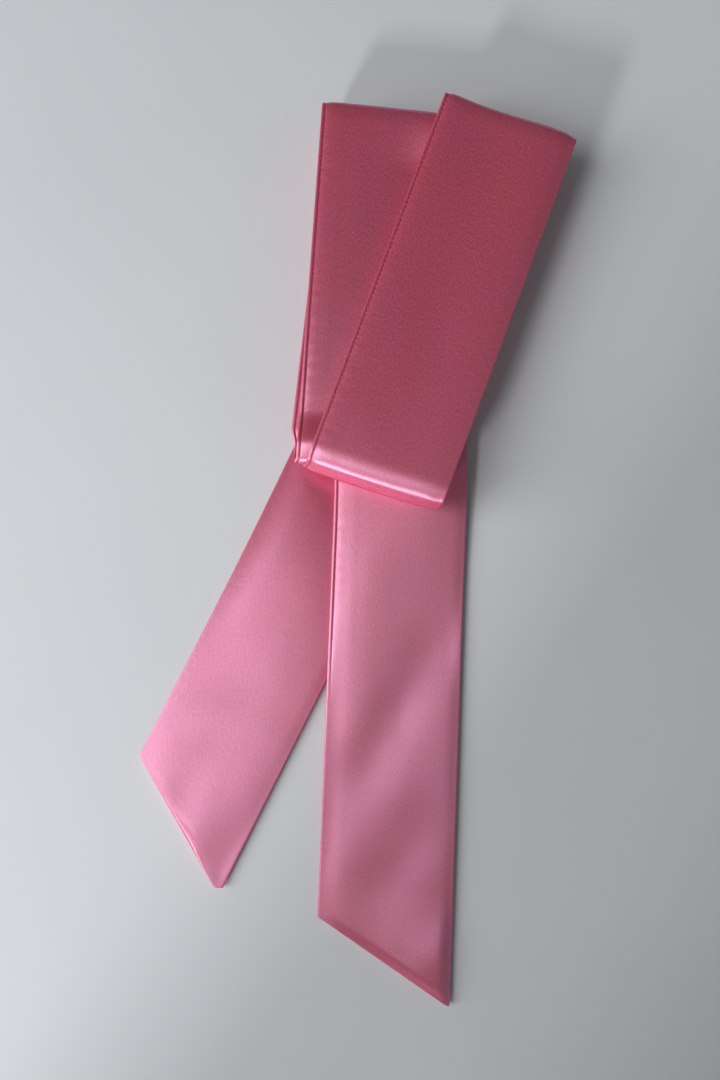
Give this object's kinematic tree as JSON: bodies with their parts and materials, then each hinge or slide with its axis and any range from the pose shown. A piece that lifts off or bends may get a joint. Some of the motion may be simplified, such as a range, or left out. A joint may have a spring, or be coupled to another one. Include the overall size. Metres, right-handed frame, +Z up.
{
  "type": "folded satin tie headband",
  "caption": "Satin tie headband, a flattened fabric tube with a sewn edge and slant-cut ends, lying folded in a flat bundle with its tails fanned out.",
  "frame": {"origin": "middle of the folded headband's footprint, on the surface it lies on", "axes": "+Y up the bundle, from the tail ends to the top folds; +X to the right seen from above; +Z up from the table"},
  "size_m": [0.174, 0.36, 0.0272],
  "materials": {
    "satin": "satin",
    "sewn_edge": "satin"
  },
  "bodies": {
    "folded_base": {"left_tail_run": "satin", "right_tail_run": "satin", "outer_top_fold": "satin", "inner_top_fold": "satin", "left_run_seam": "sewn_edge", "right_run_seam": "sewn_edge"},
    "flap": {"outer_front_panel": "satin", "inner_front_panel": "satin", "outer_back_panel": "satin", "inner_back_panel": "satin", "outer_bottom_roll": "satin", "inner_bottom_roll": "satin", "middle_fold": "satin", "flap_seam": "sewn_edge"},
    "left_tail_end_body": {"left_tail": "satin", "left_tail_seam": "sewn_edge", "left_tail_end_seam": "sewn_edge"},
    "right_tail_end_body": {"right_tail": "satin", "right_tail_seam": "sewn_edge", "right_tail_end_seam": "sewn_edge"}
  },
  "joints": [
    {"name": "flap_lift", "type": "hinge", "parent": "folded_base", "child": "flap", "pos_m": [0.03425, 0.16001, 0.0272], "axis": [-0.965, 0.2622, 0], "range_deg": [0, 120]},
    {"name": "left_tail_lift", "type": "hinge", "parent": "folded_base", "child": "left_tail_end_body", "pos_m": [-0.03715, -0.04359, 0.0042], "axis": [-0.8934, 0.4493, 0], "range_deg": [0, 120]},
    {"name": "right_tail_lift", "type": "hinge", "parent": "folded_base", "child": "right_tail_end_body", "pos_m": [0.0185, 0.00876, 0.0088], "axis": [-0.9992, 0.0401, 0], "range_deg": [0, 100]}
  ]
}
